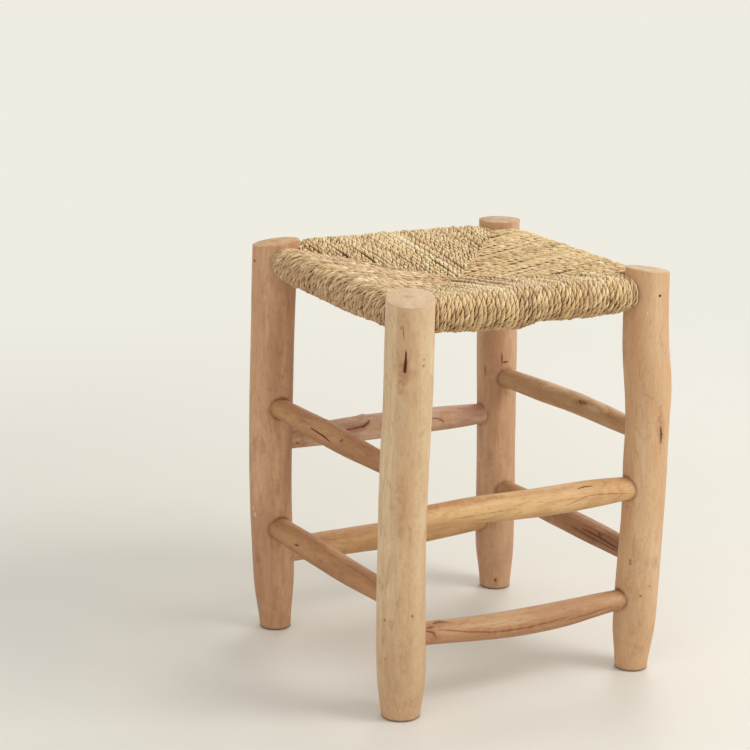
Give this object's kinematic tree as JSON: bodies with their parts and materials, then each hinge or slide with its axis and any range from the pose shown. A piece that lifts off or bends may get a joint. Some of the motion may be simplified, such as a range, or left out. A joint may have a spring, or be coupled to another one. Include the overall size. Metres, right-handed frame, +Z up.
{
  "type": "stool",
  "caption": "Low square stool of peeled round poles with rungs on every side and a seat of twisted palm-leaf cord laid in triangular fields.",
  "frame": {"origin": "on the floor, in the middle of the stool's box seen from above", "axes": "+Z up; +X from the front leg to the right leg; +Y from the front leg to the left leg"},
  "size_m": [0.3512, 0.347, 0.4546],
  "materials": {
    "leg_wood": "peeled and smoothed pole, bare, with knots and fine cracks",
    "rung_wood": "peeled and whittled pole, bare",
    "rail_wood": "rough peeled pole, bare, hidden under the cord",
    "palm_cord": "two-strand twisted palm-leaf cord, undyed, straw to brown",
    "nail_steel": "dull dark wire nail"
  },
  "bodies": {
    "root": {"leg_front": "leg_wood", "leg_right": "leg_wood", "leg_left": "leg_wood", "leg_back": "leg_wood", "rung_front_upper": "rung_wood", "rung_front_lower": "rung_wood", "rung_left_upper": "rung_wood", "rung_left_lower": "rung_wood", "rung_back_upper": "rung_wood", "rung_back_lower": "rung_wood", "rung_right_upper": "rung_wood", "rung_right_lower": "rung_wood", "rail_front": "rail_wood", "rail_left": "rail_wood", "rail_back": "rail_wood", "rail_right": "rail_wood", "nail_front": "nail_steel", "nail_left": "nail_steel", "nail_back": "nail_steel", "nail_right": "nail_steel", "seat_cord": "palm_cord"}
  },
  "joints": []
}
